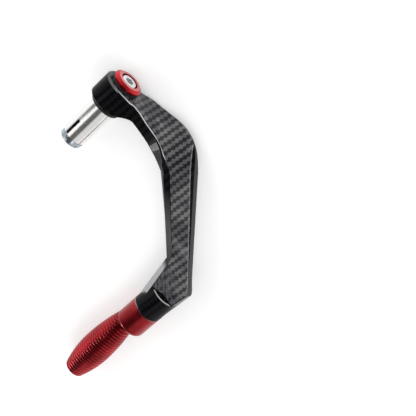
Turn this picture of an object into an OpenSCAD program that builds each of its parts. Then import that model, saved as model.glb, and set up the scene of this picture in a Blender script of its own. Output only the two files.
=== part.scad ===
// Brake lever guard for the left end of a motorcycle handlebar.
// X runs along the bar from the hub towards the rider's hand, Y points forward and Z points up.
// The origin is on the bolt axis, in the plane where the end of the bar stops.
// The hub closes the bar end, a slotted plug grips the inside of the bar, and the arm runs
// forward, turns in front of the lever and carries a ribbed metal tip.

/* [Hub] */
// Outer diameter of the hub, as wide as the bar
hub_d = 22.5; // [21:0.5:25]
// Length of the hub along the bar
hub_len = 16.5; // [15:0.5:19]
// Chamfer round both rims of the hub
hub_chamfer = 1.2; // [0.6:0.1:1.6]
// How far the hub's round end sits behind the bolt axis
hub_back = 1.2; // [0.6:0.1:2]

/* [Arm] */
// How far the outer face of the arm steps out past the hub
arm_swing = 1.5; // [1:0.1:2.6]
// How much narrower than the hub the arm is where it leaves it
root_step = 0.5; // [0.3:0.1:1.5]
// Thickness of the arm behind the hub
waist_t = 8.4; // [7:0.2:10]
// Width of the blade in the bend
blade_w = 24; // [21:0.2:27]
// Thickness of the blade
blade_t = 11; // [9.5:0.5:13]
// Distance forward at which the arm starts to bend
bend_start = 33; // [30:1:40]
// Radius of the bend along its middle line
bend_r = 37; // [32:1:46]
// Angle that the bend turns through
bend_turn = 45; // [38:1:50]
// Where along the arm the blade starts to twist
twist_start = 12; // [8:1:16]
// Twist of the blade at the end of the bend
bend_twist = 55; // [45:1:62]
// Width of the blade at the end of the bend
run_w = 21.8; // [18:0.2:24]
// Distance inboard from the end of the bar to the middle of the elbow
elbow_x = 43.1; // [38:0.5:48]
// Distance forward from the bolt axis to the middle of the elbow
elbow_y = 105; // [98:0.5:110]
// Width of the blade across the elbow
elbow_w = 28.4; // [25:0.2:31]
// Lean of the elbow's mitre line from straight forward
elbow_lean = 14; // [8:1:20]
// Softening of the arm's long edges
edge_soft = 0.7; // [0.4:0.1:1]
// Width of the bevel along the inner edge of the blade
bevel_in = 3.4; // [2:0.2:4.2]
// Width of that bevel where it ends, just before the elbow
bevel_flare = 9; // [6:0.5:11]
// Where along the run from the bend to the elbow that bevel ends
flare_at = 0.8; // [0.72:0.01:0.92]
// Width of the bevel along the outer edge of the blade
bevel_out = 3.6; // [1.5:0.1:4.4]
// Depth of the outer bevel
bevel_out_h = 3; // [2:0.2:4]

/* [Neck] */
// Distance forward from the bolt axis to the tip axis
reach = 107.4; // [104:0.2:111]
// Distance inboard from the end of the bar to the tip
tip_start = 75.3; // [70:0.5:84]
// Diameter of the round neck and the tip's collar
neck_d = 20.2; // [18.6:0.2:22]
// Length of the round neck
neck_len = 16.8; // [13:0.2:20]
// Thickness of the blade where it meets the neck
neck_face_t = 12.6; // [11:0.2:14]
// Chamfer where the neck meets the tip
neck_chamfer = 0.5; // [0.3:0.1:0.8]

/* [Grip tip] */
// Length of the plain collar
collar_len = 14.5; // [12:0.5:20]
// Rounding of the collar's shoulder
shoulder_r = 3.8; // [2:0.2:4.4]
// Length of the ribbed grip past the collar
grip_len = 55; // [44:1:66]
// Largest diameter of the grip
grip_d = 20.2; // [17:0.1:22]
// Diameter of the grip where it leaves the collar
grip_waist_d = 13; // [11.6:0.1:15]
// Diameter of the grip's end face
grip_end_d = 13; // [10:0.2:15]
// Share of the grip's length at which it is thickest
grip_belly = 0.57; // [0.45:0.01:0.65]
// How far the grip sits behind the collar's axis
grip_offset = 3.4; // [2.8:0.1:3.9]
// Lean of the grip back towards the collar's axis
grip_lean = 1.9; // [0:0.1:3]
// Spacing of the ribs
rib_pitch = 2.2; // [1.8:0.1:3]
// Depth of the grooves between the ribs
rib_depth = 0.6; // [0.4:0.05:0.9]

/* [End cap] */
// Diameter of the end cap
cap_d = 19.2; // [18.6:0.2:20.4]
// Height of the end cap above its ring
cap_h = 3.2; // [2.8:0.1:4.5]
// Bevel round the face of the cap
cap_bevel = 1.1; // [0.5:0.1:1.3]
// Number of flats round the lower side of the cap
cap_flats = 12; // [8:2:12]
// Height of the flats
cap_flat_h = 1.5; // [1:0.1:1.6]
// Wall of the cap's spigot round the bolt head
cap_wall = 1.5; // [1.2:0.1:2]
// Thickness of the cap's floor under the bolt head
cap_floor = 1.5; // [1.2:0.1:2.5]
// Thickness of the ring under the cap
ring_t = 1.4; // [1:0.1:2.4]
// Diameter of the ring under the cap
ring_d = 18.8; // [17.6:0.2:19.4]

/* [Clamp bolt] */
// Thread diameter of the bolt
bolt_d = 6; // [5.5:0.1:6.5]
// Length of the bolt under its head
bolt_len = 45; // [42:1:47]
// Diameter of the bolt head
head_d = 10; // [9.6:0.1:10.6]
// Height of the bolt head
head_h = 6; // [5.4:0.1:6.5]
// Chamfer round the bolt head
head_chamfer = 0.4; // [0.2:0.1:0.6]
// Width of the hexagon socket across its flats
socket_af = 5; // [4:0.5:5]
// Depth of the hexagon socket
socket_depth = 3; // [2:0.1:3.5]
// Depth of the bolt head below the face of the cap
head_sink = 0.4; // [0.2:0.1:0.8]

/* [Plug] */
// Diameter of the expander sleeve before it is tightened
sleeve_d = 16; // [15.2:0.1:16.4]
// Distance that the sleeve reaches into the bar
sleeve_len = 28; // [26.5:0.5:30]
// Diameter of the sleeve's bore round the bolt
sleeve_bore = 9.8; // [9:0.1:10.4]
// Length of the solid root of the sleeve
sleeve_root = 7; // [5:0.5:10]
// Diameter of the spigot that centres the sleeve in the hub
spigot_d = 12.2; // [11:0.1:13]
// Depth of the spigot in the hub
spigot_depth = 3; // [2:0.5:4]
// Width of the sleeve's slots
slot_w = 2; // [1.4:0.1:2.6]
// Length of the sleeve's slots
slot_len = 12.5; // [9:0.5:15]
// Turn of the first slot from straight up
slot_turn = 30; // [0:1:60]
// Thickness of the rubber ring between the hub and the end of the bar
rubber_t = 1.4; // [1:0.1:2.2]
// Diameter of the rubber ring
rubber_d = 20; // [18:0.2:20.4]

/* [Expander nut] */
// Length of the tapered part of the nut inside the sleeve
taper_len = 8.5; // [7:0.5:10]
// Largest diameter of the taper
taper_d = 14.8; // [14:0.1:15]
// Smallest diameter of the taper
taper_small_d = 10.2; // [10:0.1:11]
// How far the nut stands out of the sleeve
nut_out = 4.6; // [3:0.1:5]
// Chamfer round the end of the nut
nut_chamfer = 0.7; // [0.4:0.1:1]
// Width of the keys that ride in the slots
key_w = 1.7; // [1.2:0.1:1.9]

/* [Stud] */
// Thread diameter of the stud that holds the tip
stud_d = 6; // [5:0.5:8]
// Depth of the stud in the neck and in the tip
stud_depth = 12; // [9:0.5:14]
// Free depth of the holes past the stud's ends
stud_relief = 1.5; // [1:0.5:2.5]

/* [Fits] */
// Radial clearance round the bolt in its holes
hole_clear = 0.3; // [0.2:0.05:0.5]
// Radial clearance of spigots and rings
fit_clear = 0.1; // [0.05:0.05:0.2]
// Radial clearance of threads
thread_clear = 0.05; // [0.03:0.01:0.1]

/* [Hidden] */
$fn = 96;

// Places along the bolt axis, from the cap inwards
hub_in_x = -rubber_t;
hub_out_x = hub_in_x - hub_len;
ring_x = hub_out_x - ring_t;
cap_face_x = ring_x - cap_h;
head_top_x = cap_face_x + head_sink;
head_seat_x = head_top_x + head_h;
cap_foot_x = head_seat_x + cap_floor;
bolt_end_x = head_seat_x + bolt_len;
well_d = head_d + 2 * 0.7;
cap_spigot_d = well_d + 2 * cap_wall;
nut_face_x = sleeve_len + nut_out;
taper_x = sleeve_len - taper_len;
stud_hole = stud_depth + stud_relief;

// Middle line of the arm
root_w = hub_d - root_step;
seat_edge = ring_d / 2 + 0.2;
arm_mid_x = hub_out_x - arm_swing + waist_t / 2;
bend_len = bend_r * bend_turn * PI / 180;
run_start = bend_start + bend_len;

function mix(a, b, t) = a + (b - a) * t;
function ramp(s, a, b) =
  let (t = min(max((s - a) / (b - a), 0), 1))
  t * t * (3 - 2 * t);

// Faces of the arm near the hub, before it bends
function grow(s) = (blade_t - waist_t) / 2 * ramp(s, 22, 42);
function swing(s) =
  let (t = min(max((s - seat_edge) / 9, 0), 1))
  arm_swing * t * (2 - t);
function outer_x(s) = hub_out_x - swing(s) - grow(s);
function back_x(s) =
  mix(hub_in_x - hub_chamfer, hub_out_x - arm_swing + waist_t, ramp(s, 5, 19)) + grow(s);

// Heading of the middle line from straight forward, and its place
function turn_at(s) = min(max((s - bend_start) / bend_r * 180 / PI, 0), bend_turn);
function mid_at(s) =
  let (a = turn_at(s))
  s < bend_start
    ? [(outer_x(s) + back_x(s)) / 2, s, 0]
    : [arm_mid_x + bend_r * (1 - cos(a)), bend_start + bend_r * sin(a), 0];

// Sizes of the section at a distance along the arm
function twist_at(s) = bend_twist * max(s - twist_start, 0) / (run_start - twist_start);
function width_at(s) =
  mix(mix(root_w, blade_w, ramp(s, 28, 47)), run_w, ramp(s, 50, run_start));
function thick_at(s) = back_x(s) - outer_x(s);
function inner_bevel_at(s) = mix(edge_soft, bevel_in, ramp(s, bend_start, run_start));
function outer_bevel_at(s, full) = mix(edge_soft, full, ramp(s, bend_start + 9, run_start));

// Corners of a section: a is across the blade, towards its inner edge, and b is towards its face
function corners(w, t, in_w, in_h, out_w, out_h) = [
  [w / 2 - in_w, t / 2],
  [w / 2, t / 2 - in_h],
  [w / 2, in_h - t / 2],
  [w / 2 - in_w, -t / 2],
  [out_w - w / 2, -t / 2],
  [-w / 2, out_h - t / 2],
  [-w / 2, t / 2 - out_h],
  [out_w - w / 2, t / 2]
];

// Each corner becomes three points, so that no edge of the arm is sharp
function step_to(p, q, d) =
  let (len = norm(q - p))
  p + (q - p) * min(d, 0.3 * len) / max(len, 0.001);
function soften(pts, d) = [
  for (i = [0:len(pts) - 1])
    let (p = pts[i], u = pts[(i + len(pts) - 1) % len(pts)], v = pts[(i + 1) % len(pts)])
    let (a = step_to(p, u, d), b = step_to(p, v, d))
    each [a, (a + b + 2 * p) / 4, b]
];

// A section placed in space: heading turns it about Z and twist turns it about the arm
function place(pts, at, heading, twist) =
  let (n = [-cos(heading), sin(heading), 0])
  let (across = [0, 0, cos(twist)] - n * sin(twist))
  let (face = n * cos(twist) + [0, 0, sin(twist)])
  [for (p = pts) at + across * p[0] + face * p[1]];

function arm_section(s) =
  place(
    soften(
      corners(width_at(s), thick_at(s), inner_bevel_at(s), inner_bevel_at(s),
        outer_bevel_at(s, bevel_out), outer_bevel_at(s, bevel_out_h)),
      edge_soft),
    mid_at(s), turn_at(s), twist_at(s));

// The section across the elbow, with its inner bevel as wide as asked
function elbow_section(in_w) =
  place(
    soften(
      corners(elbow_w, blade_t, in_w, bevel_in, bevel_out / 2, blade_t / 2 - 0.8),
      edge_soft),
    [elbow_x, elbow_y, 0], 90 + elbow_lean, 90);

neck_h = neck_face_t / 2 - 0.4;
neck_section =
  place(
    soften(corners(neck_d - 0.4, neck_face_t, bevel_in, neck_h, bevel_in, neck_h), edge_soft),
    [tip_start - 2, reach, 0], 90, 90);

function between(p, q, t) = [for (i = [0:len(p) - 1]) mix(p[i], q[i], t)];

// A closed skin over a row of sections with the same number of points
module loft(rows) {
  n = len(rows[0]);
  last = (len(rows) - 1) * n;
  polyhedron(
    points = [for (row = rows) each row],
    faces = concat(
      [[for (i = [0:n - 1]) i]],
      [for (r = [0:len(rows) - 2], i = [0:n - 1])
        each [
          [r * n + i, (r + 1) * n + i, (r + 1) * n + (i + 1) % n],
          [r * n + i, (r + 1) * n + (i + 1) % n, r * n + (i + 1) % n]
        ]],
      [[for (i = [0:n - 1]) last + n - 1 - i]]
    ),
    convexity = 6
  );
}

// Turns a shape that stands on Z so that it lies along the bar from x
module along_x(x) {
  translate([x, 0, 0])
    rotate([0, 90, 0])
      children();
}

module rod(x1, x2, d) {
  along_x(x1)
    cylinder(h = x2 - x1, d = d);
}

// A turned disc or barrel with a chamfer at each rim
module turned(x1, x2, d, c1, c2) {
  along_x(x1)
    rotate_extrude()
      polygon([
        [0, 0],
        [d / 2 - c1, 0],
        [d / 2, c1],
        [d / 2, x2 - x1 - c2],
        [d / 2 - c2, x2 - x1],
        [0, x2 - x1]
      ]);
}

module arm_skin() {
  steps = 30;
  run_steps = 7;
  neck_steps = 5;
  first = arm_section(run_start);
  elbow = elbow_section(bevel_in);
  flare = between(first, elbow_section(bevel_flare), flare_at);
  loft(concat(
    [for (i = [0:steps]) arm_section(mix(-hub_back, run_start, i / steps))],
    [for (i = [1:run_steps]) between(first, flare, i / run_steps)],
    [for (i = [0:neck_steps]) between(elbow, neck_section, i / neck_steps)]
  ));
}

// Hub, blade and neck, cast in one piece
module guard_arm() {
  color([0.13, 0.13, 0.14])
    difference() {
      union() {
        arm_skin();
        translate([0, -hub_back, 0])
          turned(hub_out_x, hub_in_x, hub_d, hub_chamfer, hub_chamfer);
        translate([0, reach, 0])
          turned(tip_start - neck_len, tip_start, neck_d, neck_chamfer, neck_chamfer);
      }
      rod(hub_out_x - 1, 1, bolt_d + 2 * hole_clear);
      rod(hub_out_x - 1, cap_foot_x, cap_spigot_d + 2 * fit_clear);
      rod(hub_in_x - spigot_depth, 1, spigot_d + 2 * fit_clear);
      translate([0, reach, 0])
        rod(tip_start - stud_hole, tip_start + 1, stud_d + 2 * thread_clear);
    }
}

// Radius of the grip at a share of its length: a leaf, thickest at the belly
function leaf(t) =
  t < grip_belly
    ? grip_d / 2 - (grip_d - grip_waist_d) / 2 * pow(1 - t / grip_belly, 2)
    : grip_d / 2 - (grip_d - grip_end_d) / 2 * pow((t - grip_belly) / (1 - grip_belly), 2);

module ribbed_leaf() {
  ribs = floor(grip_len / rib_pitch);
  p = grip_len / ribs;
  rotate_extrude()
    polygon(concat(
      [[0, -shoulder_r]],
      [[grip_waist_d / 2 - rib_depth, -shoulder_r]],
      [for (i = [0:ribs - 1], k = [0:3])
        let (z = (i + [0, 0.3, 0.5, 0.8][k]) * p)
        [leaf(z / grip_len) - [rib_depth, 0.12, 0, 0.12][k], z]],
      [[grip_end_d / 2 - rib_depth, grip_len]],
      [[0, grip_len]]
    ));
}

// Plain round collar whose far shoulder is rounded off
module collar() {
  r = neck_d / 2;
  along_x(tip_start)
    rotate_extrude()
      polygon(concat(
        [[0, 0]],
        [[r - neck_chamfer, 0]],
        [[r, neck_chamfer]],
        [for (a = [0:15:90])
          [r - shoulder_r + shoulder_r * cos(a), collar_len + shoulder_r * sin(a)]],
        [[0, collar_len + shoulder_r]]
      ));
}

// Collar and ribbed grip, turned from one bar, with the grip off the collar's axis
module grip_tip() {
  color([0.72, 0.08, 0.12])
    difference() {
      translate([0, reach, 0])
        union() {
          collar();
          translate([0, -grip_offset, 0])
            translate([tip_start + collar_len, 0, 0])
              rotate([0, 0, grip_lean])
                rotate([0, 90, 0])
                  ribbed_leaf();
        }
      translate([0, reach, 0])
        rod(tip_start - 1, tip_start + stud_hole, stud_d + 2 * thread_clear);
    }
}

// Headless stud, hidden half in the neck and half in the tip
module tip_stud() {
  color([0.6, 0.6, 0.62])
    translate([0, reach, 0])
      turned(tip_start - stud_depth, tip_start + stud_depth, stud_d, 0.5, 0.5);
}

// Flanged cap with wrench flats, whose spigot holds the bolt head inside the hub
module end_cap() {
  color([0.75, 0.08, 0.12])
    difference() {
      union() {
        turned(cap_face_x, ring_x - cap_flat_h, cap_d, cap_bevel, 0);
        along_x(ring_x - cap_flat_h)
          rotate([0, 0, 180 / cap_flats])
            cylinder(h = cap_flat_h, d = cap_d - 0.4, $fn = cap_flats);
        rod(cap_face_x + cap_bevel, cap_foot_x, cap_spigot_d);
      }
      rod(cap_face_x - 1, head_seat_x, well_d);
      rod(cap_face_x - 1, cap_foot_x + 1, bolt_d + 2 * hole_clear);
    }
}

// Black ring between cap and hub
module cap_ring() {
  color([0.06, 0.06, 0.06])
    difference() {
      turned(ring_x, hub_out_x, ring_d, 0.2, 0.2);
      rod(ring_x - 1, hub_out_x + 1, cap_spigot_d + 2 * fit_clear);
    }
}

// Socket head screw that draws the tapered nut into the sleeve
module clamp_bolt() {
  color([0.8, 0.8, 0.82])
    difference() {
      union() {
        turned(head_top_x, head_seat_x, head_d, head_chamfer, 0);
        turned(head_seat_x - 1, bolt_end_x, bolt_d, 0, 0.6);
      }
      along_x(head_top_x - 1)
        cylinder(h = socket_depth + 1, d = socket_af / cos(30), $fn = 6);
    }
}

// Tube that the nut spreads against the inside of the bar
module expander_sleeve() {
  color([0.86, 0.86, 0.87])
    difference() {
      union() {
        turned(0, sleeve_len, sleeve_d, 0, 0.3);
        rod(hub_in_x - spigot_depth, 1, spigot_d);
      }
      rod(hub_in_x - spigot_depth - 1, sleeve_len + 1, bolt_d + 2 * hole_clear);
      rod(sleeve_root, sleeve_len + 1, sleeve_bore);
      nut_taper(fit_clear);
      for (i = [0:2])
        rotate([slot_turn + 120 * i, 0, 0])
          translate([sleeve_len - slot_len, -slot_w / 2, 0])
            cube([slot_len + 1, slot_w, sleeve_d]);
    }
}

// Cone of the nut, or the seat for it when it is grown by a clearance
module nut_taper(grow) {
  along_x(taper_x)
    cylinder(h = taper_len + 2.4, d1 = taper_small_d + 2 * grow,
      d2 = taper_d + 2 * grow);
}

// Tapered nut on the end of the bolt, kept from turning by keys in the slots
module expander_nut() {
  color([0.72, 0.77, 0.8])
    difference() {
      union() {
        nut_taper(0);
        turned(taper_x + taper_len + 2.4, nut_face_x, taper_d, 0, nut_chamfer);
        for (i = [0:2])
          rotate([slot_turn + 120 * i, 0, 0])
            translate([taper_x + 2, -key_w / 2, 0])
              cube([taper_len + 0.4, key_w, sleeve_d / 2 - 0.5]);
      }
      rod(taper_x - 1, nut_face_x + 1, bolt_d + 2 * thread_clear);
    }
}

// Soft ring that seats the plug against the hub and centres it in the bar
module rubber_ring() {
  color([0.05, 0.05, 0.05])
    difference() {
      turned(hub_in_x, 0, rubber_d, 0.2, 0.2);
      rod(hub_in_x - 1, 1, spigot_d + 2 * fit_clear);
    }
}

guard_arm();
grip_tip();
end_cap();
cap_ring();
clamp_bolt();
expander_sleeve();
expander_nut();
rubber_ring();
tip_stud();
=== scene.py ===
# %% [markdown]
# A guard that keeps the brake lever of a motorcycle from being pushed in from outside. A black arm wrapped
# in a woven film is bolted into the open end of the handlebar, turns in front of the lever and ends in a
# red ribbed metal tip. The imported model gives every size. This file gives the parts their finish, and makes
# smoother shapes for the three parts that the eye rests on: the arm, the tip and the cap.

# %% Load the fixed frame
import math
import bpy
import bmesh
import numpy as np
from mathutils import Matrix, Vector


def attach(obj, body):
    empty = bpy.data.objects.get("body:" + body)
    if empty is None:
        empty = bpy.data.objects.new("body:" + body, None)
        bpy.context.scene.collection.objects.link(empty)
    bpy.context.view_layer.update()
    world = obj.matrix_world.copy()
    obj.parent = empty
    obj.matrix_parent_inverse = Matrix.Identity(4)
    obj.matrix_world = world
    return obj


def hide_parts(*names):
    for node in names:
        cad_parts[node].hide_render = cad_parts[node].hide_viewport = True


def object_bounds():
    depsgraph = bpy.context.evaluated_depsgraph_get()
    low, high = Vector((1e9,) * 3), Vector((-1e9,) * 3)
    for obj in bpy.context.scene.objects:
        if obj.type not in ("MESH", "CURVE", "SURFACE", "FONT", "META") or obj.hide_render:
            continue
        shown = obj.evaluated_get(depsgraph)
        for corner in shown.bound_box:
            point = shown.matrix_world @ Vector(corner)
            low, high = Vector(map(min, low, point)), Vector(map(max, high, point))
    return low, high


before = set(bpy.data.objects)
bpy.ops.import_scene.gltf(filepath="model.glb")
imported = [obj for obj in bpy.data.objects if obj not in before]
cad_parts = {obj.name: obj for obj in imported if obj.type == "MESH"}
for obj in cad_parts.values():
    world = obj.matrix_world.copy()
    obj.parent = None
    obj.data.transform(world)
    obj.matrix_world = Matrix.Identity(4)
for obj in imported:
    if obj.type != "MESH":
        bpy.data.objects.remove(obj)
cad_low, cad_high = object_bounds()
MM = 0.001
print("CAD box, mm:", [round(v / MM, 1) for v in (*cad_low, *cad_high)])

# %% [markdown]
# The camera looks down on the arm from above the rider's hands, a little from outside. It could be set by
# eye, but a fixed place and three directions are easier to repeat. The lens is long, so the shapes hardly
# narrow with distance.

# %% Camera
RIGHT = Vector((-0.67467932, 0.68700804, -0.26986622))
DOWN = Vector((0.59319348, 0.72224818, 0.35563895))
FORWARD = Vector((0.4392372, 0.07985936, -0.8948146))

camera_data = bpy.data.cameras.new("camera")
camera_data.lens = 125.48
camera_data.sensor_width = 36.0
camera_data.clip_start = 0.01
camera = bpy.data.objects.new("camera", camera_data)
turn = Matrix((RIGHT, -DOWN, -FORWARD)).transposed().to_4x4()
camera.matrix_world = Matrix.Translation((-0.3787, 0.0171, 0.7667)) @ turn
bpy.context.collection.objects.link(camera)
bpy.context.scene.camera = camera
bpy.context.scene.view_settings.view_transform = "Standard"
print("camera height over the arm, mm:", round(camera.location.z / MM))

# %% [markdown]
# Every finish below is built from nodes. They could be placed by hand in the shader editor, but helpers are
# easier to repeat: one adds a node and wires or sets its inputs, and two do arithmetic.

# %% Node helpers
def add(tree, kind, inputs=None, **settings):
    """Adds one node. Each input is wired when it is given a socket, and set when it is given a value."""
    node = tree.nodes.new(kind)
    for key, value in settings.items():
        setattr(node, key, value)
    for key, value in (inputs or {}).items():
        if isinstance(value, bpy.types.NodeSocket):
            tree.links.new(value, node.inputs[key])
        else:
            node.inputs[key].default_value = value
    return node


def calc(tree, operation, *values):
    """One step of arithmetic, whose output socket is returned."""
    return add(tree, "ShaderNodeMath", dict(enumerate(values)), operation=operation).outputs[0]


def times(tree, first, *others):
    """A product, one factor after the other. A product of masks is 1 only where all of them are."""
    for other in others:
        first = calc(tree, "MULTIPLY", first, other)
    return first


print("node helpers ready")

# %% [markdown]
# Most masks ask where a point lies or which way a surface faces. These helpers measure that, and turn a
# measure into a smooth step from 0 to 1 or into a mix of two colours.

# %% Directions, steps and mixes
def dot(tree, first, second):
    """The dot product of two directions: how far the first reaches along the second."""
    return add(tree, "ShaderNodeVectorMath", {0: first, 1: second}, operation="DOT_PRODUCT").outputs["Value"]


def split(tree, vector):
    """The X, Y and Z of a vector, as sockets with those names."""
    return add(tree, "ShaderNodeSeparateXYZ", {0: vector}).outputs


def from_axis(tree, spot, axis_y):
    """Distance from a line along X that lies axis_y forward: the root of (y - axis_y)^2 + z^2."""
    off = calc(tree, "SUBTRACT", spot["Y"], axis_y)
    return calc(tree, "SQRT", calc(tree, "ADD", times(tree, off, off), times(tree, spot["Z"], spot["Z"])))


def blend(tree, factor, first, second):
    """A mix of two colours: first where the factor is 0, second where it is 1."""
    node = add(tree, "ShaderNodeMix", {0: factor, 6: first, 7: second}, data_type="RGBA")
    return node.outputs[2]


def step(tree, value, low, high, to_low=0.0, to_high=1.0):
    """A smooth step: to_low below low, to_high above high."""
    return add(tree, "ShaderNodeMapRange",
               {"Value": value, "From Min": low, "From Max": high, "To Min": to_low, "To Max": to_high},
               interpolation_type="SMOOTHSTEP").outputs[0]


print("directions, steps and mixes ready")

# %% [markdown]
# What several finishes share is made once, as a group with named inputs and outputs. A group only hands out
# colours, masks and heights, so each material stays in charge of its own shader. Every material starts the
# same way, from the object's own coordinates, which stay with the object when it moves.

# %% Groups and materials
def start_group(name, inputs, outputs):
    """A new shader group with its input and output nodes."""
    group = bpy.data.node_groups.new(name, "ShaderNodeTree")
    for label, kind, value in inputs:
        socket = group.interface.new_socket(label, in_out="INPUT", socket_type="NodeSocket" + kind)
        if value is not None:
            socket.default_value = value
    for label, kind in outputs:
        group.interface.new_socket(label, in_out="OUTPUT", socket_type="NodeSocket" + kind)
    return group, group.nodes.new("NodeGroupInput").outputs, group.nodes.new("NodeGroupOutput").inputs


def use(tree, group, inputs):
    """Places a group in a material."""
    return add(tree, "ShaderNodeGroup", inputs, node_tree=group).outputs


def start_material(name):
    """A new material: its tree, its Principled shader and the object's own coordinates."""
    material = bpy.data.materials.new(name)
    material.use_nodes = True
    tree = material.node_tree
    shader = next(n for n in tree.nodes if n.type == "BSDF_PRINCIPLED")
    place = add(tree, "ShaderNodeTexCoord").outputs["Object"]
    return material, tree, shader, place


def bump(tree, shader, height, depth):
    """Feeds a height of 0 to 1 into the shader's normal, as deep as depth in metres."""
    node = add(tree, "ShaderNodeBump", {"Height": height, "Distance": depth, "Strength": 1.0})
    tree.links.new(node.outputs[0], shader.inputs["Normal"])


print("groups and materials can be started")

# %% [markdown]
# Handling marks are on every part: faint clouds where a surface has been wiped, and fine specks of dust and
# scuffs. Two noises, a coarse one and a fine one, are enough. The group only puts out a mask and a height,
# so each material decides how strong they are.

# %% Handling marks
marks, g_in, g_out = start_group(
    "handling_marks",
    [("Position", "Vector", None), ("Cloud Scale", "Float", 60.0), ("Grain Scale", "Float", 2500.0)],
    [("Cloud", "Float"), ("Grain", "Float"), ("Scuff", "Float")])
tree = marks
at = g_in["Position"]
cloud = add(tree, "ShaderNodeTexNoise", {"Vector": at, "Scale": g_in["Cloud Scale"], "Detail": 4.0})
grain = add(tree, "ShaderNodeTexNoise", {"Vector": at, "Scale": g_in["Grain Scale"], "Detail": 2.0})
scuff_scale = times(tree, g_in["Cloud Scale"], 9.0)
scuff = add(tree, "ShaderNodeTexNoise", {"Vector": at, "Scale": scuff_scale, "Detail": 6.0, "Roughness": 0.7})
tree.links.new(cloud.outputs[0], g_out["Cloud"])
tree.links.new(grain.outputs[0], g_out["Grain"])
tree.links.new(step(tree, scuff.outputs[0], 0.56, 0.72), g_out["Scuff"])
print("marks group has", len(tree.nodes), "nodes")

# %% [markdown]
# Turned metal carries fine rings from the lathe tool. On a barrel they follow each other along the bar, and
# on a flat face they run round the centre. The sum of the place along the axis and the distance from it
# rises steadily over both, so one wave over that sum draws both kinds. A noise on the same sum makes some
# rings deeper than others.

# %% Turning marks
rings, g_in, g_out = start_group(
    "turning_marks",
    [("Position", "Vector", None), ("Axis Y", "Float", 0.0), ("Pitch", "Float", 0.0002)],
    [("Ring", "Float"), ("Streak", "Float")])
tree = rings
part = split(tree, g_in["Position"])
radius = from_axis(tree, part, g_in["Axis Y"])
ring_number = calc(tree, "DIVIDE", calc(tree, "ADD", part["X"], radius), g_in["Pitch"])
wave = calc(tree, "SINE", times(tree, ring_number, 2 * math.pi))
uneven = add(tree, "ShaderNodeTexNoise", {"W": times(tree, ring_number, 0.31), "Scale": 1.0, "Detail": 3.0},
             noise_dimensions="1D").outputs[0]
tree.links.new(calc(tree, "MULTIPLY_ADD", wave, 0.25, uneven), g_out["Ring"])
tree.links.new(step(tree, uneven, 0.35, 0.7), g_out["Streak"])
print("turning group has", len(tree.nodes), "nodes")

# %% [markdown]
# The arm looks like woven carbon cloth under a clear gloss. Each thread passes over two threads and under
# two, and each row starts one thread later, which makes the stair-stepped diagonals. Number the threads
# both ways: where the sum of the two numbers, divided by four, leaves 0 or 1, the lengthwise thread is on
# top and catches the light. The cloth is printed on a film that is laid on from the front, which stretches
# it more one way than the other. So the thread numbers grow along two directions across that front, faster
# along the second.

# %% Twill film
FILM_ACROSS = (-313.9, 310.2, -126.4)  # threads per metre
FILM_DOWN = (374.7, 646.3, 241.6)

twill, g_in, g_out = start_group(
    "twill_film",
    [("Position", "Vector", None), ("Across", "Vector", FILM_ACROSS), ("Down", "Vector", FILM_DOWN)],
    [("Top", "Float"), ("Height", "Float"), ("Fibre", "Float"), ("Streak", "Float"), ("Across", "Float"),
     ("Down", "Float")])
tree = twill
at = g_in["Position"]
waver = add(tree, "ShaderNodeTexNoise", {"Vector": at, "Scale": 260.0, "Detail": 2.0}).outputs[0]
u = calc(tree, "MULTIPLY_ADD", waver, 0.5, dot(tree, at, g_in["Across"]))
v = calc(tree, "MULTIPLY_ADD", waver, 0.5, dot(tree, at, g_in["Down"]))
number = calc(tree, "ADD", calc(tree, "FLOOR", u), calc(tree, "FLOOR", v))
left_over = calc(tree, "FLOORED_MODULO", number, 4.0)
over = calc(tree, "LESS_THAN", left_over, 1.5)
mid_u = calc(tree, "ABSOLUTE", calc(tree, "SUBTRACT", calc(tree, "FRACT", u), 0.5))
mid_v = calc(tree, "ABSOLUTE", calc(tree, "SUBTRACT", calc(tree, "FRACT", v), 0.5))
across = add(tree, "ShaderNodeMix", {0: over, 2: mid_u, 3: mid_v}).outputs[0]
crown = calc(tree, "SUBTRACT", 1.0, times(tree, across, across, 4.0))
long_u = add(tree, "ShaderNodeCombineXYZ", {0: times(tree, u, 0.5), 1: times(tree, v, 7.0)})
long_v = add(tree, "ShaderNodeCombineXYZ", {0: times(tree, u, 1.8), 1: times(tree, v, 0.2)})
fibre_u = add(tree, "ShaderNodeTexNoise", {"Vector": long_u.outputs[0], "Scale": 1.0}).outputs[0]
fibre_v = add(tree, "ShaderNodeTexNoise", {"Vector": long_v.outputs[0], "Scale": 1.0}).outputs[0]
tree.links.new(over, g_out["Top"])
tree.links.new(calc(tree, "MULTIPLY_ADD", over, 0.35, times(tree, crown, 0.65)), g_out["Height"])
tree.links.new(add(tree, "ShaderNodeMix", {0: over, 2: fibre_u, 3: fibre_v}).outputs[0], g_out["Fibre"])
tree.links.new(fibre_v, g_out["Streak"])
tree.links.new(u, g_out["Across"])
tree.links.new(v, g_out["Down"])
print("twill group has", len(tree.nodes), "nodes")

# %% [markdown]
# The film only lies on the outer face. The face turns from sideways at the hub to upwards at the elbow. A
# mask could be painted, but then it would have to be stored, so the mask asks how well the surface faces a
# direction that turns with the distance forward. The film ends before the round neck, and it is trimmed a
# little ragged along the outside.

# %% Where the film lies on the arm
FACE_AT_HUB, FACE_AT_RUN, FACE_AT_ELBOW = (-1.0, 0.0, 0.0), (-0.37, 0.35, 0.86), (-0.12, 0.2, 0.97)
NECK_FROM, NECK_TO = 0.0572, 0.0588  # metres along the bar
TRIM_WAY, TRIM_AT = (-669.0, 702.0, 0.0), 51.7  # threads per metre, and threads

arm_material, tree, shader, place = start_material("twill_film_arm")
spot = split(tree, place)
normal = add(tree, "ShaderNodeNewGeometry").outputs["Normal"]
weave = use(tree, twill, {"Position": place})
wear = use(tree, marks, {"Position": place, "Cloud Scale": 70.0, "Grain Scale": 3000.0})


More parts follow.
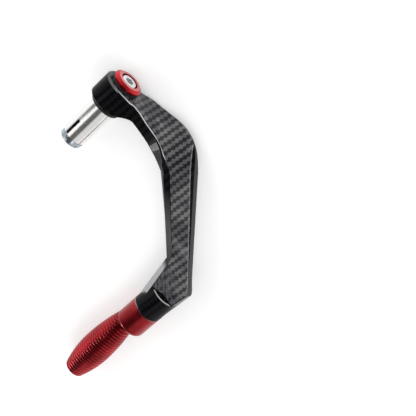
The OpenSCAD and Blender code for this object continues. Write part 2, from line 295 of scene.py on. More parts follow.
def turn_towards(first, second, start, end):
    """A direction that goes from first to second between two distances forward."""
    share = step(tree, spot["Y"], start, end)
    mix = add(tree, "ShaderNodeMix", {0: share, 4: first, 5: second}, data_type="VECTOR")
    return add(tree, "ShaderNodeVectorMath", {0: mix.outputs[1]}, operation="NORMALIZE").outputs[0]


def faces_way(way, low, high):
    """1 where the surface faces a direction closely."""
    return step(tree, dot(tree, normal, way), low, high)


outer = turn_towards(FACE_AT_HUB, FACE_AT_RUN, 0.008, 0.062)
outer = turn_towards(outer, FACE_AT_ELBOW, 0.062, 0.1)
facing = dot(tree, normal, outer)
before_neck = step(tree, spot["X"], NECK_FROM, NECK_TO, 1.0, 0.0)
outward = calc(tree, "MULTIPLY_ADD", weave["Fibre"], 0.7, dot(tree, place, TRIM_WAY))
before_edge = step(tree, outward, TRIM_AT, TRIM_AT + 0.2, 1.0, 0.0)
film = times(tree, step(tree, facing, 0.86, 0.92), before_neck, before_edge)
print("the film is trimmed", TRIM_AT, "threads out")

# %% [markdown]
# Under its gloss the cloth has two greys, one for the threads on top and one for those below. It is more
# even towards the elbow. A painted glare lies on it in pale clouds, strongest near the hub, and more on
# the raised threads.

# %% Colours of the cloth
cloth = blend(tree, weave["Top"], (0.011, 0.011, 0.014, 1), (0.14, 0.14, 0.155, 1))
cloth = blend(tree, times(tree, weave["Fibre"], 0.5), cloth, (0.025, 0.025, 0.03, 1))
cloth = blend(tree, step(tree, spot["Y"], 0.045, 0.07, 0.0, 0.22), cloth, (0.05, 0.05, 0.055, 1))
# painted glare: pale clouds of reflection put into the colour, strongest near the hub
painted_glare = times(tree, step(tree, wear["Cloud"], 0.46, 0.66), step(tree, spot["Y"], 0.02, 0.04, 0.8, 0.35))
painted_glare = times(tree, painted_glare, calc(tree, "MULTIPLY_ADD", weave["Top"], 0.7, 0.2))
cloth = blend(tree, painted_glare, cloth, (0.4, 0.4, 0.375, 1))
print("cloth so far:", len(tree.nodes), "nodes")

# %% [markdown]
# At the elbow the weave looks smeared into streaks along one thread direction. Where it does is told by the
# thread numbers, and the streaks are a noise that is stretched along the threads. Everything that the film
# leaves free is black lacquer with a hint of the weave.

# %% Smeared weave and lacquer
streaks = blend(tree, step(tree, weave["Streak"], 0.35, 0.65), (0.02, 0.02, 0.024, 1), (0.15, 0.15, 0.165, 1))
smeared = times(tree, step(tree, weave["Down"], 77.5, 83.5),
                step(tree, weave["Across"], 14.5, 19.5, 0.75, 0.15))
cloth = blend(tree, smeared, cloth, streaks)
lacquer = blend(tree, weave["Top"], (0.002, 0.002, 0.0025, 1), (0.007, 0.007, 0.009, 1))
colour = blend(tree, film, lacquer, cloth)
print("film and lacquer:", len(tree.nodes), "nodes")

# %% [markdown]
# The bevels beside the face get a painted sheen: a grey paler than the lacquer, each its own, that stands
# for the light they reflect. The one on the inside of the elbow is palest, then the one opposite it, and the
# long ones only a little. They could be separate materials on separate faces, but each is easily found by
# the direction that it faces.

# %% Painted sheen on the bevels
past_elbow = step(tree, spot["X"], 0.04, 0.046)
tilt = split(tree, normal)["X"]
inner_slope_sheen = times(tree, faces_way((0.17, -0.83, 0.54), 0.86, 0.92), past_elbow, step(tree, tilt, 0.05, 0.1))
lower_slope_sheen = times(tree, faces_way((0.09, 0.9, 0.42), 0.93, 0.97), past_elbow,
                    step(tree, spot["X"], 0.056, 0.061, 1.0, 0.0))
run_slope_sheen = times(tree, faces_way((0.39, -0.33, 0.86), 0.96, 0.985), step(tree, spot["Y"], 0.055, 0.075))
outer_strip_sheen = times(tree, faces_way((-0.66, 0.71, 0.23), 0.9, 0.95), before_neck)
# painted sheen: each bevel's grey stands for the light it reflects, chosen by the way it faces
colour = blend(tree, run_slope_sheen, colour, (0.045, 0.045, 0.045, 1))
colour = blend(tree, inner_slope_sheen, colour, (0.42, 0.42, 0.43, 1))
colour = blend(tree, lower_slope_sheen, colour, (0.2, 0.2, 0.21, 1))
colour = blend(tree, outer_strip_sheen, colour, (0.06, 0.06, 0.063, 1))
print("with the bevels:", len(tree.nodes), "nodes")

# %% [markdown]
# Three thin painted highlights stand for light caught by the rounded edge from the hub to the bend, the arc
# where the face meets the neck, and the cut lip of the film. The edge is the narrow band where the surface
# starts to turn away from the outer direction. The arc is found by its place and by its distance from the
# axis of the tip.

# %% Painted highlights on the edge, arc and lip
TIP_AXIS_Y = 0.1074  # metres forward of the axis of the hub

least = step(tree, spot["Y"], 0.024, 0.04, 0.45, 0.83)
rounding = times(tree, calc(tree, "GREATER_THAN", facing, least), step(tree, facing, 0.82, 0.9, 1.0, 0.0),
                 step(tree, spot["Y"], 0.046, 0.052, 1.0, 0.0),
                 step(tree, spot["Y"], -0.004, 0.004, 0.2, 1.0))
# painted highlight along the rounded edge, broken up by a noise
edge_highlight = times(tree, rounding, step(tree, wear["Cloud"], 0.3, 0.5, 0.7, 1.0))
arc = times(tree, step(tree, spot["X"], NECK_FROM, 0.0576), step(tree, spot["X"], 0.0585, 0.0587, 1.0, 0.0),
            step(tree, spot["Z"], 0.0068, 0.0072),
            step(tree, from_axis(tree, spot, TIP_AXIS_Y), 0.0089, 0.0091))
lip = times(tree, step(tree, outward, TRIM_AT - 0.5, TRIM_AT - 0.3), film,
            step(tree, wear["Grain"], 0.4, 0.6))
# painted highlights: a pale grey colour where the edge, the arc and the lip would catch the light
painted_highlights = calc(tree, "MAXIMUM", edge_highlight, calc(tree, "MAXIMUM", arc, times(tree, lip, 0.5)))
colour = blend(tree, painted_highlights, colour, (0.75, 0.75, 0.75, 1))
tree.links.new(colour, shader.inputs["Base Color"])
print("with the lines:", len(tree.nodes), "nodes")

# %% [markdown]
# A clear coat lies thickly on the film and thinly on the lacquer. Under it the surface reflects little by
# itself, because at low angles a stronger reflection would wash the black out. The weave stands up a few
# hundredths of a millimetre.

# %% Gloss and relief of the arm
rough = calc(tree, "MULTIPLY_ADD", wear["Cloud"], 0.16, 0.26)
tree.links.new(calc(tree, "MULTIPLY_ADD", wear["Scuff"], 0.12, rough), shader.inputs["Roughness"])
tree.links.new(calc(tree, "MULTIPLY_ADD", film, 0.35, 0.12), shader.inputs["Coat Weight"])
shader.inputs["Coat IOR"].default_value = 1.42
shader.inputs["Coat Roughness"].default_value = 0.04
shader.inputs["IOR"].default_value = 1.12
relief = calc(tree, "MULTIPLY_ADD", wear["Cloud"], 0.4, times(tree, weave["Height"], film))
bump(tree, shader, relief, 0.00003)
print("arm material has", len(tree.nodes), "nodes")

# %% [markdown]
# The tip and the cap are turned aluminium, dyed red in an anodising bath and sealed. It is metal through
# and through, so it is all reflection, tinted red. The seal adds a thin colourless gloss, which turns the
# highlights pink. Some stretches along the bar get painted light in their colour: a painted highlight, pale
# pink, on the foot of the collar and on the face of the cap, and painted shade, near black, in the groove
# behind the collar and on the flats of the cap. Each material says where its own lie.

# %% Red anodised material
def red_anodised(name, low, high, axis_y, pitch, highlight_from, highlight_to, shade_from, shade_to):
    """Dyed and sealed aluminium, turned round an axis at axis_y, with a stretch of painted highlight and one
    of painted shade.
    """
    material, tree, shader, place = start_material(name)
    wear = use(tree, marks, {"Position": place, "Cloud Scale": 90.0, "Grain Scale": 5000.0})
    lathe = use(tree, rings, {"Position": place, "Axis Y": axis_y, "Pitch": pitch})
    x = split(tree, place)["X"]
    # painted highlight on one stretch along the bar, and painted shade on another
    highlight_band = times(tree, calc(tree, "GREATER_THAN", x, highlight_from), calc(tree, "LESS_THAN", x, highlight_to))
    shade_band = times(tree, calc(tree, "GREATER_THAN", x, shade_from), calc(tree, "LESS_THAN", x, shade_to))
    colour = blend(tree, step(tree, wear["Cloud"], 0.35, 0.65), low, high)
    colour = blend(tree, times(tree, wear["Scuff"], 0.12), colour, (0.6, 0.06, 0.07, 1))
    colour = blend(tree, times(tree, highlight_band, 0.45), colour, (0.75, 0.35, 0.36, 1))
    colour = blend(tree, times(tree, shade_band, 0.75), colour, (0.07, 0.001, 0.003, 1))
    tree.links.new(colour, shader.inputs["Base Color"])
    shader.inputs["Metallic"].default_value = 1.0
    rough = calc(tree, "MULTIPLY_ADD", lathe["Streak"], 0.06, 0.24)
    tree.links.new(calc(tree, "MULTIPLY_ADD", wear["Grain"], 0.1, rough), shader.inputs["Roughness"])
    shader.inputs["Coat Weight"].default_value = 0.35
    shader.inputs["Coat Roughness"].default_value = 0.25
    bump(tree, shader, calc(tree, "MULTIPLY_ADD", wear["Grain"], 0.5, lathe["Ring"]), 0.0000015)
    print(name, "has", len(tree.nodes), "nodes")
    return material


# painted highlight on the foot of the collar, painted shade in the groove behind it
tip_material = red_anodised(
    "red_anodised_tip", low=(0.25, 0.002, 0.006, 1), high=(0.38, 0.005, 0.012, 1), axis_y=TIP_AXIS_Y,
    pitch=0.00019, highlight_from=0.0752, highlight_to=0.0757, shade_from=0.0932, shade_to=0.0941)
# painted highlight on the face of the cap, painted shade on its flats
cap_material = red_anodised(
    "red_anodised_cap", low=(0.3, 0.002, 0.006, 1), high=(0.62, 0.008, 0.018, 1), axis_y=0.0,
    pitch=0.00016, highlight_from=-0.0226, highlight_to=-0.02242, shade_from=-0.02078, shade_to=-0.019)

# %% [markdown]
# The other metals are bare or plated: bright turned aluminium on the plug, zinc with its cold blue tinge on
# the tapered nut, and a bright plated bolt. They differ in tint, in how rough they are and in how coarse
# the rings are, so one function makes all of them. The part of the nut that shows through the slots of the
# sleeve gets painted shade: it is coloured near black.

# %% Bare and plated metals
def plain_metal(name, low, high, roughness, pitch, depth, cloudy, slot_shade_to=-1.0):
    """Metal between two tints, with turning marks as deep as depth, and near black painted shade where X lies
    below a given limit.
    """
    material, tree, shader, place = start_material(name)
    wear = use(tree, marks, {"Position": place, "Cloud Scale": cloudy, "Grain Scale": 4000.0})
    lathe = use(tree, rings, {"Position": place, "Axis Y": 0.0, "Pitch": pitch})
    colour = blend(tree, wear["Cloud"], low, high)
    dull = tuple(0.55 * c for c in low[:3]) + (1,)
    colour = blend(tree, times(tree, lathe["Streak"], 0.12), colour, dull)
    # painted shade: near black where X lies below the limit, inside the slotted sleeve
    slot_shade = calc(tree, "LESS_THAN", split(tree, place)["X"], slot_shade_to)
    colour = blend(tree, slot_shade, colour, (0.02, 0.02, 0.02, 1))
    tree.links.new(colour, shader.inputs["Base Color"])
    shader.inputs["Metallic"].default_value = 1.0
    rough = calc(tree, "MULTIPLY_ADD", lathe["Streak"], 0.1, roughness)
    tree.links.new(calc(tree, "MULTIPLY_ADD", wear["Scuff"], 0.12, rough), shader.inputs["Roughness"])
    bump(tree, shader, calc(tree, "MULTIPLY_ADD", wear["Grain"], 0.5, lathe["Ring"]), depth)
    print(name, "has", len(tree.nodes), "nodes")
    return material


aluminium = plain_metal("bright_aluminium", low=(0.78, 0.77, 0.76, 1), high=(0.90, 0.89, 0.88, 1),
                        roughness=0.16, pitch=0.00022, depth=0.0000012, cloudy=80.0)
# the nut gets painted shade where the sleeve's slots cover it
zinc = plain_metal("blue_zinc", low=(0.34, 0.40, 0.44, 1), high=(0.50, 0.55, 0.58, 1),
                   roughness=0.2, pitch=0.0003, depth=0.000002, cloudy=260.0, slot_shade_to=0.0276)
plated = plain_metal("plated_bolt", low=(0.74, 0.75, 0.76, 1), high=(0.88, 0.88, 0.88, 1),
                     roughness=0.18, pitch=0.00025, depth=0.000003, cloudy=150.0)

# %% [markdown]
# Both rings are black rubber. Rubber is never quite black: a dusty bloom lies on it in patches, and the
# surface has a fine grain that spreads the highlight.

# %% Rubber material
rubber, tree, shader, place = start_material("black_rubber")
wear = use(tree, marks, {"Position": place, "Cloud Scale": 180.0, "Grain Scale": 3500.0})
bloom = blend(tree, wear["Cloud"], (0.004, 0.004, 0.004, 1), (0.02, 0.02, 0.021, 1))
tree.links.new(bloom, shader.inputs["Base Color"])
tree.links.new(calc(tree, "MULTIPLY_ADD", wear["Cloud"], 0.3, 0.42), shader.inputs["Roughness"])
bump(tree, shader, wear["Grain"], 0.00002)
print("rubber has", len(tree.nodes), "nodes")

# %% [markdown]
# The rings, the bolt, the stud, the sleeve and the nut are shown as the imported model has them. They are
# simple turned shapes, so a finer mesh would show nothing more. Their materials go on the objects, and the
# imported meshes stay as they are.

# %% Give the kept parts their materials
KEPT = {
    "cap_ring": rubber, "rubber_ring": rubber, "clamp_bolt": plated, "tip_stud": plated,
    "expander_sleeve": aluminium, "expander_nut": zinc,
}
for name, material in KEPT.items():
    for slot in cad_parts[name].material_slots:
        slot.link = "OBJECT"
        slot.material = material
print("kept parts with a finish:", ", ".join(KEPT))

# %% [markdown]
# The new shapes are grids of points. A grid that is closed both ways is a ring, one that is closed one way
# is a tube, and a tube whose ends lie on its axis closes by itself once the points there are merged.

# %% Mesh helpers
def grid_faces(rows, columns, closed_rows=False):
    """Four-cornered faces over a grid whose columns wrap round, and whose rows wrap where asked."""
    r = np.arange(rows if closed_rows else rows - 1)[:, None]
    c = np.arange(columns)[None, :]
    after_r, after_c = (r + 1) % rows, (c + 1) % columns
    corners = (r * columns + c, r * columns + after_c, after_r * columns + after_c, after_r * columns + c)
    return np.stack(np.broadcast_arrays(*corners), axis=-1).reshape(-1, 4).tolist()


def make_mesh(name, points, faces):
    """A mesh in metres from points in millimetres, merged, with its faces turned outwards."""
    mesh = bpy.data.meshes.new(name)
    mesh.from_pydata((points.reshape(-1, 3) * MM).tolist(), [], faces)
    shape = bmesh.new()
    shape.from_mesh(mesh)
    bmesh.ops.remove_doubles(shape, verts=shape.verts, dist=2e-7)
    bmesh.ops.recalc_face_normals(shape, faces=shape.faces)
    shape.to_mesh(mesh)
    shape.free()
    return mesh


def add_object(name, mesh):
    """Puts a mesh into the scene."""
    obj = bpy.data.objects.new(name, mesh)
    bpy.context.collection.objects.link(obj)
    return obj


print("mesh helpers ready")

# %% [markdown]
# The arm and the tip each join several closed forms and have holes cut into them. That could be modelled
# face by face, but a boolean does it exactly. Its result is taken as a plain mesh, so nothing is left to
# work out later. Each finished piece is shaded smoothly up to a set angle, and stands in for its node of
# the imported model.

# %% Carving and finishing
def carve(name, base, joined, cut):
    """One shape from several: the joined meshes are added to the base, then the cut ones are taken away."""
    obj = add_object(name, base)
    tools = []
    for mesh, operation in [(m, "UNION") for m in joined] + [(m, "DIFFERENCE") for m in cut]:
        tools.append(add_object(name + "_tool", mesh))
        modifier = obj.modifiers.new("carve", "BOOLEAN")
        modifier.operation, modifier.solver, modifier.object = operation, "EXACT", tools[-1]
    graph = bpy.context.evaluated_depsgraph_get()
    result = bpy.data.meshes.new_from_object(obj.evaluated_get(graph), depsgraph=graph)
    obj.modifiers.clear()
    obj.data = result
    for tool in tools:
        bpy.data.objects.remove(tool)
    return obj


def finish_piece(obj, material, node, angle):
    """Smooth shading with crisp edges, the material, and the place of the piece in the frame."""
    obj.data.name = obj.name
    obj.data.shade_smooth()
    obj.data.set_sharp_from_angle(angle=math.radians(angle))
    weights = obj.modifiers.new("even_shading", "WEIGHTED_NORMAL")
    weights.keep_sharp = True
    obj.data.materials.clear()
    obj.data.materials.append(material)
    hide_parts(node)
    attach(obj, "root")
    shape = bmesh.new()
    shape.from_mesh(obj.data)
    open_edges = sum(len(edge.link_faces) != 2 for edge in shape.edges)
    shape.free()
    print(obj.name, "has", len(obj.data.polygons), "faces and", open_edges, "open edges")


print("carving and finishing ready")

# %% [markdown]
# No real edge is perfectly sharp, and a softened edge is what catches the light. A corner is softened by a
# short parabola: it starts a little before the corner, leaves in the direction of the corner and arrives a
# little after it. The same formula softens the sections of the arm and the profiles of the turned parts.

# %% Softened corners
def soften(points, reach, count=5):
    """Each corner p becomes count points of (1-t)^2 a + 2 t (1-t) p + t^2 b, with a and b within reach."""
    def towards(other):
        gap = other - points
        length = np.maximum(np.linalg.norm(gap, axis=-1, keepdims=True), 1e-3)
        return points + gap * np.minimum(np.broadcast_to(reach, length.shape), 0.3 * length) / length
    a = towards(np.roll(points, 1, axis=-2))[..., None, :]
    b = towards(np.roll(points, -1, axis=-2))[..., None, :]
    t = np.linspace(0.0, 1.0, count)[:, None]
    curve = (1 - t) ** 2 * a + 2 * t * (1 - t) * points[..., None, :] + t ** 2 * b
    return curve.reshape(*points.shape[:-2], -1, points.shape[-1])


print("corners can be softened")

# %% [markdown]
# Round parts are drawn as on a lathe: a profile, which pairs places along the bar with distances from its
# axis, goes once round that axis. Barrels are added to a shape, and plain rods are cut out of it as holes.

# %% Turned shapes
def turn_profile(profile, centre_y, around=144):
    """Every point (x, r) of a profile goes round the bar: y = centre + r cos, z = r sin."""
    angle = np.linspace(0.0, 2 * np.pi, around, endpoint=False)
    x = np.broadcast_to(profile[:, :1], (len(profile), around))
    y = centre_y + profile[:, 1:2] * np.cos(angle)
    z = profile[:, 1:2] * np.sin(angle)
    return np.stack((x, y, z), axis=-1)


def barrel(name, x1, x2, radius, chamfer, centre_y, soft=0.25, around=144):
    """A closed barrel from x1 to x2 with a softened chamfer at both rims."""
    rim = np.array([[x1, 0], [x1, radius - chamfer], [x1 + chamfer, radius],
                    [x2 - chamfer, radius], [x2, radius - chamfer], [x2, 0]], float)
    middle = soften(rim, soft)[5:-5]
    profile = np.concatenate((rim[:1], middle, rim[-1:]))
    return make_mesh(name, turn_profile(profile, centre_y, around), grid_faces(len(profile), around))


def bore(name, x1, x2, diameter, centre_y=0.0):
    """A plain rod, to be cut out."""
    profile = np.array([[x1, 0], [x1, diameter / 2], [x2, diameter / 2], [x2, 0]], float)
    return make_mesh(name, turn_profile(profile, centre_y, 96), grid_faces(4, 96))


print("turned shapes ready")

# %% [markdown]
# The arm is one casting. It leaves the hub as a broad flat blade, bends round the lever, twists so that its
# face turns up, widens at the elbow and runs out into a round neck. It could be sculpted, or swept along a
# curve, but a row of sections is easier to steer: each is an eight-cornered outline with a bevel at both
# edges, set across the middle line at its own heading and twist. All sections are worked out at once, one
# per row of an array.

# %% Sizes of the arm, in millimetres
HUB_D, HUB_LEN, HUB_BACK, HUB_IN, HUB_CHAMFER = 22.5, 16.5, 1.2, -1.4, 1.2
HUB_OUT = HUB_IN - HUB_LEN
SWING, ROOT_W, WAIST_T = 1.5, 22.0, 8.4
BLADE_W, BLADE_T, RUN_W = 24.0, 11.0, 21.8
BEND_START, BEND_R, BEND_TURN = 33.0, 37.0, 45.0
TWIST_START, TWIST = 12.0, 55.0
ELBOW, ELBOW_W, ELBOW_LEAN = (43.1, 105.0, 0.0), 28.4, 14.0
SOFT, BEVEL_IN, FLARE, FLARE_AT, BEVEL_OUT, BEVEL_OUT_H = 0.7, 3.4, 9.0, 0.8, 3.6, 3.0
REACH, TIP_START, NECK_D, NECK_LEN, NECK_T = 107.4, 75.3, 20.2, 16.8, 12.6
RING_D = 18.8
SEAT_EDGE, SEAT_FADE = RING_D / 2 + 0.2, 9
NECK_INSET = 0.4
RUN_START = BEND_START + BEND_R * math.radians(BEND_TURN)
print("the bend ends", round(RUN_START, 1), "mm along the arm")

# %% [markdown]
# Sizes along the arm change with smooth rises and not in steps, so one function gives the rise from 0 to 1.
# A section is first drawn flat, as eight corners, and is then stood across the middle line, turned by its
# heading and leaned by its twist.

# %% One section of the arm
def ramp(s, a, b):
    """0 before a, 1 after b, with a smooth rise between."""
    t = np.clip((s - a) / (b - a), 0, 1)
    return t * t * (3 - 2 * t)


def between(a, b, t):
    return a + (b - a) * t


def outline(w, t, in_w, in_h, out_w, out_h):
    """Eight corners of a section of width w and thickness t, with a bevel at its inner and its outer edge."""
    w, t, in_w, in_h, out_w, out_h = np.broadcast_arrays(*np.atleast_1d(w, t, in_w, in_h, out_w, out_h))
    right, top = w / 2, t / 2
    a = np.stack((right - in_w, right, right, right - in_w,
                  out_w - right, -right, -right, out_w - right), axis=-1)
    b = np.stack((top, top - in_h, in_h - top, -top, -top, out_h - top, top - out_h, top), axis=-1)
    return np.stack((a, b), axis=-1)


def set_across(corners, middle, heading, twist):
    """Stands softened outlines in space: a goes across the blade and b towards its face."""
    h, w = np.radians(np.atleast_1d(heading))[:, None], np.radians(np.atleast_1d(twist))[:, None]
    side = np.concatenate((-np.cos(h), np.sin(h), 0 * h), axis=1)
    up = np.array([[0.0, 0.0, 1.0]])
    across, face = up * np.cos(w) - side * np.sin(w), side * np.cos(w) + up * np.sin(w)
    flat = soften(corners, SOFT)
    return np.atleast_2d(middle)[:, None] + flat[..., :1] * across[:, None] + flat[..., 1:] * face[:, None]


print("a section has", outline(BLADE_W, BLADE_T, 1, 1, 1, 1).shape[-2], "corners")

# %% [markdown]
# From the hub to the end of the bend the middle line is straight and then an arc, and the width, the
# thickness, the bevels and the twist all follow the distance along it. The elbow has one section of its
# own, set a little askew.

# %% Sections of the arm
def bent_sections(s):
    """Sections at distances s along the arm, from the hub to the end of the bend."""
    grow = (BLADE_T - WAIST_T) / 2 * ramp(s, 22, 42)
    t = np.clip((s - SEAT_EDGE) / SEAT_FADE, 0, 1)
    outer = HUB_OUT - SWING * t * (2 - t) - grow
    back = between(HUB_IN - HUB_CHAMFER, HUB_OUT - SWING + WAIST_T, ramp(s, 5, 19)) + grow
    turned = np.clip(np.degrees((s - BEND_START) / BEND_R), 0, BEND_TURN)
    angle = np.radians(turned)
    bent_x = HUB_OUT - SWING + WAIST_T / 2 + BEND_R * (1 - np.cos(angle))
    x = np.where(s < BEND_START, (outer + back) / 2, bent_x)
    y = np.where(s < BEND_START, s, BEND_START + BEND_R * np.sin(angle))
    twist = TWIST * np.maximum(s - TWIST_START, 0) / (RUN_START - TWIST_START)
    width = between(between(ROOT_W, BLADE_W, ramp(s, 28, 47)), RUN_W, ramp(s, 50, RUN_START))
    inner = between(SOFT, BEVEL_IN, ramp(s, BEND_START, RUN_START))
    rise = ramp(s, BEND_START + 9, RUN_START)
    corners = outline(width, back - outer, inner, inner, between(SOFT, BEVEL_OUT, rise),
                      between(SOFT, BEVEL_OUT_H, rise))
    return set_across(corners, np.stack((x, y, 0 * x), axis=1), turned, twist)


def elbow_section(bevel):
    """The section across the elbow, with its inner bevel as wide as asked."""
    corners = outline(ELBOW_W, BLADE_T, bevel, BEVEL_IN, BEVEL_OUT / 2, BLADE_T / 2 - 0.8)
    return set_across(corners, ELBOW, 90 + ELBOW_LEAN, 90)


print("one section has", bent_sections(np.array([0.0])).shape[1], "points")

# %% [markdown]
# Where the flat face meets the round neck, the casting has a small scoop: a hollow curve that rises from
# the face to the rim of the neck. It is a quarter of an ellipse, and the arm's material paints a thin
# highlight arc along it.

# %% Neck
def scooped_neck(rise=5.9, run=2.8):
    """Quarter ellipse x = start - run (1 - sin t), r = rise + (R - rise)(1 - cos t), then a barrel."""
    start, radius = TIP_START - NECK_LEN, NECK_D / 2
    t = np.linspace(0, np.pi / 2, 14)
    scoop = np.stack((start - run * (1 - np.sin(t)), rise + (radius - 0.35 - rise) * (1 - np.cos(t))), axis=1)
    rim = np.array([[start, radius - 2], [start, radius], [TIP_START - 0.5, radius],
                    [TIP_START, radius - 0.5], [TIP_START, 0]], float)
    profile = np.concatenate(([[start - run, 0]], scoop, soften(rim, 0.35)[5:-5], rim[-1:]))
    return make_mesh("neck", turn_profile(profile, REACH), grid_faces(len(profile), 144))


print("neck profile ready")

# %% [markdown]
# The sections are joined into one skin: close together round the bend, then straight from the end of the
# bend through the flare to the elbow, then on into the neck. The hub and the neck are added to it, and the
# holes for the bolt, the cap, the plug and the stud are cut out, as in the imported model.

# %% Arm
bend = bent_sections(np.linspace(-HUB_BACK, RUN_START, 141))
flare = between(bend[-1:], elbow_section(FLARE), FLARE_AT)
run = between(bend[-1:], flare, np.linspace(0, 1, 31)[1:, None, None])
half = NECK_T / 2 - NECK_INSET
neck_outline = outline(NECK_D - NECK_INSET, NECK_T, BEVEL_IN, half, BEVEL_IN, half)
neck_end = set_across(neck_outline, (TIP_START - 2, REACH, 0), 90, 90)
last = between(elbow_section(BEVEL_IN), neck_end, np.linspace(0, 1, 25)[:, None, None])
skin = np.concatenate((bend, run, last))
columns = skin.shape[1]
ends = [list(range(columns)), list(range((len(skin) - 1) * columns, len(skin) * columns))]
blade = make_mesh("blade", skin, grid_faces(len(skin), columns) + ends)

HEAD_SEAT, CAP_FOOT = -16.1, -14.6
BOLT_HOLE_D, CAP_HOLE_D, PLUG_HOLE_D, PLUG_HOLE = 6.6, 14.6, 12.4, 3
STUD_HOLE_D, STUD_HOLE = 6.1, 13.5
hub = barrel("hub", HUB_OUT, HUB_IN, HUB_D / 2, HUB_CHAMFER, -HUB_BACK)
neck = scooped_neck()
holes = [
    bore("bolt_hole", HUB_OUT - 1, 1, BOLT_HOLE_D),
    bore("cap_hole", HUB_OUT - 1, CAP_FOOT, CAP_HOLE_D),
    bore("plug_hole", HUB_IN - PLUG_HOLE, 1, PLUG_HOLE_D),
    bore("stud_hole", TIP_START - STUD_HOLE, TIP_START + 1, STUD_HOLE_D, REACH),
]
arm = carve("arm_body", blade, [hub, neck], holes)
finish_piece(arm, arm_material, "guard_arm", 32)

# %% [markdown]
# The tip is turned from one red bar: a plain collar as wide as the neck, then a slimmer leaf-shaped grip
# that is set a little off the collar's axis. The leaf grows from its waist to its belly and falls again to
# its end, as two halves of a parabola. Each rib is a small parabola on top of that, so the grooves between
# them are narrow and dark.

# %% Ribbed leaf
COLLAR_LEN, SHOULDER = 14.5, 3.8
GRIP_LEN, GRIP_D, WAIST_D, END_D, BELLY, OFFSET, LEAN = 55.0, 20.2, 13.0, 13.0, 0.57, 3.4, 1.9
RIB_DEPTH, RIBS = 0.6, 25


def leaf_radius(t):
    """Radius at a share t of the length: parabolas on both sides of the belly."""
    before = GRIP_D / 2 - (GRIP_D - WAIST_D) / 2 * (1 - t / BELLY) ** 2
    after = GRIP_D / 2 - (GRIP_D - END_D) / 2 * ((t - BELLY) / (1 - BELLY)) ** 2
    return np.where(t < BELLY, before, after)


def ribbed_leaf():
    """The leaf turned round its own leaning axis. Each rib rises by depth (1 - (2u - 1)^2) over one pitch."""
    z = np.linspace(0, GRIP_LEN, RIBS * 12 + 1)
    u = np.mod(z * RIBS / GRIP_LEN, 1.0)
    r = leaf_radius(z / GRIP_LEN) - RIB_DEPTH * (2 * u - 1) ** 2
    z = np.concatenate(([-SHOULDER, -SHOULDER], z, [GRIP_LEN]))
    r = np.concatenate(([0, WAIST_D / 2 - RIB_DEPTH], r, [0]))
    angle = np.linspace(0, 2 * np.pi, 128, endpoint=False)
    along, side, up = z[:, None], r[:, None] * np.cos(angle), r[:, None] * np.sin(angle)
    lean = math.radians(LEAN)
    x = TIP_START + COLLAR_LEN + along * math.cos(lean) - side * math.sin(lean)
    y = REACH - OFFSET + along * math.sin(lean) + side * math.cos(lean)
    points = np.stack((x, y, np.broadcast_to(up, x.shape)), axis=-1)
    return make_mesh("leaf", points, grid_faces(len(z), len(angle)))


print("the ribs are", round(GRIP_LEN / RIBS, 2), "mm apart")

# %% [markdown]
# The collar is a straight barrel whose far end is rounded off by a quarter circle. The leaf starts inside
# it, and the hole for the stud is cut into both from the side of the neck.

# %% Collar and tip
def collar():
    """Straight barrel, then a quarter circle down to its end face."""
    radius, turn = NECK_D / 2, np.linspace(0, np.pi / 2, 13)
    edge = np.array([[0, 0], [0, radius - 0.5], [0.5, radius]], float)
    foot = np.concatenate((edge[:1], soften(edge, 0.2)[5:10], edge[2:]))
    x, r = COLLAR_LEN + SHOULDER * np.sin(turn), radius - SHOULDER * (1 - np.cos(turn))
    shoulder = np.stack((x, r), axis=1)
    profile = np.concatenate((foot, shoulder, [[COLLAR_LEN + SHOULDER, 0]])) + [TIP_START, 0]
    return make_mesh("collar", turn_profile(profile, REACH), grid_faces(len(profile), 144))


tip_hole = bore("tip_hole", TIP_START - 1, TIP_START + STUD_HOLE, STUD_HOLE_D, REACH)
tip = carve("ribbed_tip", ribbed_leaf(), [collar()], [tip_hole])
finish_piece(tip, tip_material, "grip_tip", 32)

# %% [markdown]
# The cap is a flanged disc with twelve flats below its rim and a hollow stem that holds the bolt's head.
# Its profile goes once round, from the well over the face, the rim and the flats to the stem and back up
# inside, so the surface is a closed ring. On the flats the radius follows the twelve-sided outline: the
# distance to a straight side is the distance to its middle divided by the cosine of the angle from there.

# %% Cap
RING_X, CAP_H, CAP_D, CAP_BEVEL, FLAT_H, FLATS = -19.3, 3.2, 19.2, 2.1, 1.5, 12
FACE_X, WELL_R, STEM_R, HOLE_R = RING_X - CAP_H, 5.7, 7.2, 3.3
CONE_H, FLAT_INSET = 1.35, 0.2


def cap_surface():
    """Rows (x, r, k): the radius is r where k is 0, and r times the twelve-sided outline where k is 1."""
    rim, low = CAP_D / 2, RING_X - FLAT_H
    corners = np.array([
        [FACE_X, WELL_R, 0], [FACE_X, rim - CAP_BEVEL, 0], [FACE_X + CONE_H, rim, 0], [low, rim, 0],
        [low, rim - FLAT_INSET, 1], [RING_X, rim - FLAT_INSET, 1], [RING_X, STEM_R, 0], [CAP_FOOT, STEM_R, 0],
        [CAP_FOOT, HOLE_R, 0], [HEAD_SEAT, HOLE_R, 0], [HEAD_SEAT, WELL_R, 0]])
    x, r, k = soften(corners, 0.16).T[:, :, None]
    angle = np.linspace(0, 2 * np.pi, FLATS * 16, endpoint=False)
    wide = 2 * np.pi / FLATS
    side = math.cos(wide / 2) / np.cos(np.mod(angle + wide / 2, wide) - wide / 2)
    radius = r * (1 + k * (side - 1))
    x_all = np.broadcast_to(x, radius.shape)
    points = np.stack((x_all, radius * np.cos(angle), radius * np.sin(angle)), axis=-1)
    return make_mesh("cap", points, grid_faces(len(x), len(angle), closed_rows=True))


cap = add_object("flanged_cap", cap_surface())
finish_piece(cap, cap_material, "end_cap", 25)

# %% [markdown]
# The guard lies on a white table, a pale surface of its own that takes the guard's shadow. It glows a
# little for the camera and in reflections, so it looks white there without more light on the guard.

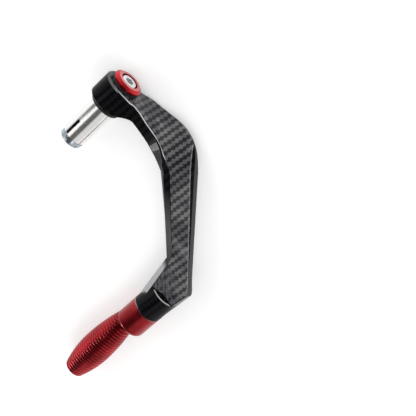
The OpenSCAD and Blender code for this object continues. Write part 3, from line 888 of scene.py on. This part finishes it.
# %% Table
TABLE, TABLE_GLOW = 3.0, 0.36
corners = np.array([[-1, -1, 0], [1, -1, 0], [1, 1, 0], [-1, 1, 0]]) * TABLE / MM
table = add_object("table", make_mesh("table", corners, [[0, 1, 2, 3]]))
table.data.transform(Matrix.Translation((0, 0, cad_low[2])))
table_material, tree, shader, place = start_material("white_table")
shader.inputs["Roughness"].default_value = 0.9
shader.inputs["Specular IOR Level"].default_value = 0.0
fleck = add(tree, "ShaderNodeTexNoise", {"Vector": place, "Scale": 40.0}).outputs[0]
tree.links.new(blend(tree, fleck, (0.88, 0.88, 0.88, 1), (0.9, 0.9, 0.9, 1)), shader.inputs["Base Color"])
rays = add(tree, "ShaderNodeLightPath").outputs
seen = calc(tree, "MAXIMUM", rays["Is Camera Ray"], rays["Is Glossy Ray"])
shader.inputs["Emission Color"].default_value = (1, 1, 1, 1)
tree.links.new(times(tree, seen, TABLE_GLOW), shader.inputs["Emission Strength"])
table.data.materials.append(table_material)
print("table at", round(cad_low[2] / MM, 1), "mm")

# %% [markdown]
# What the camera sees of the room is plain white, and polished metal sees the same white, but darker
# overhead, as in a studio whose ceiling isn't lit. Without that dark part, metal would have nothing to show
# but white. A second dark part hangs like a card beyond the outer end of the hub, and darkens what is
# reflected from there. All other light from the room is weaker, and fills the shadows.

# %% Room
ROOM_LIGHT = 0.55
world = bpy.data.worlds.new("room")
bpy.context.scene.world = world
world.use_nodes = True
tree = world.node_tree
background = next(n for n in tree.nodes if n.type == "BACKGROUND")
direction = add(tree, "ShaderNodeTexCoord").outputs["Generated"]
way = split(tree, direction)
ceiling = step(tree, way["Z"], 0.0, 0.3, 1.0, 0.12)
ceiling = times(tree, ceiling, step(tree, way["X"], -0.97, -0.82, 0.08, 1.0))
rays = add(tree, "ShaderNodeLightPath").outputs
metal_sees = calc(tree, "MAXIMUM", rays["Is Glossy Ray"], rays["Is Transmission Ray"])
shown = add(tree, "ShaderNodeMix", {0: metal_sees, 2: 1.0, 3: ceiling}).outputs[0]
seen = calc(tree, "MAXIMUM", rays["Is Camera Ray"], metal_sees)
strength = add(tree, "ShaderNodeMix", {0: seen, 2: ROOM_LIGHT, 3: shown}).outputs[0]
background.inputs["Color"].default_value = (1, 1, 1, 1)
tree.links.new(strength, background.inputs["Strength"])
print("room has", len(tree.nodes), "nodes")

# %% [markdown]
# Softboxes light the guard. Each is a plain area lamp aimed at the middle of the guard. The key draws a
# line along every rib of the tip, the two panels make the bright bands on the round parts, the window
# glints on the inside of the bend, and a weak one overhead lies as a haze on the film. The room fills the
# shadows.

# %% Softboxes
MIDDLE = (Vector(cad_low) + Vector(cad_high)) / 2


def softbox(name, way, distance, width, length, radiance):
    """An area lamp in direction way from the guard. Its power is radiance times its area times pi."""
    data = bpy.data.lights.new(name, "AREA")
    data.shape, data.size, data.size_y = "RECTANGLE", width, length
    data.energy = radiance * width * length * math.pi
    lamp = bpy.data.objects.new(name, data)
    way = Vector(way).normalized()
    turn = way.to_track_quat("Z", "Y").to_matrix().to_4x4()
    lamp.matrix_world = Matrix.Translation(MIDDLE + way * distance) @ turn
    lamp.visible_camera = False
    bpy.context.collection.objects.link(lamp)
    print(name, "gives", round(data.energy, 1), "W")


softbox("key", (-0.32, -0.88, 0.34), 0.8, 0.34, 0.5, 3.2)
softbox("left_panel", (0.42, -0.70, 0.58), 0.33, 0.12, 0.26, 1.3)
softbox("right_panel", (0.1, 0.80, 0.60), 0.5, 0.7, 0.6, 0.68)
softbox("window", (0.966, -0.205, 0.14), 0.9, 0.13, 0.16, 22.0)
softbox("overhead", (0.12, 0.55, 0.83), 0.9, 0.16, 0.22, 3.0)
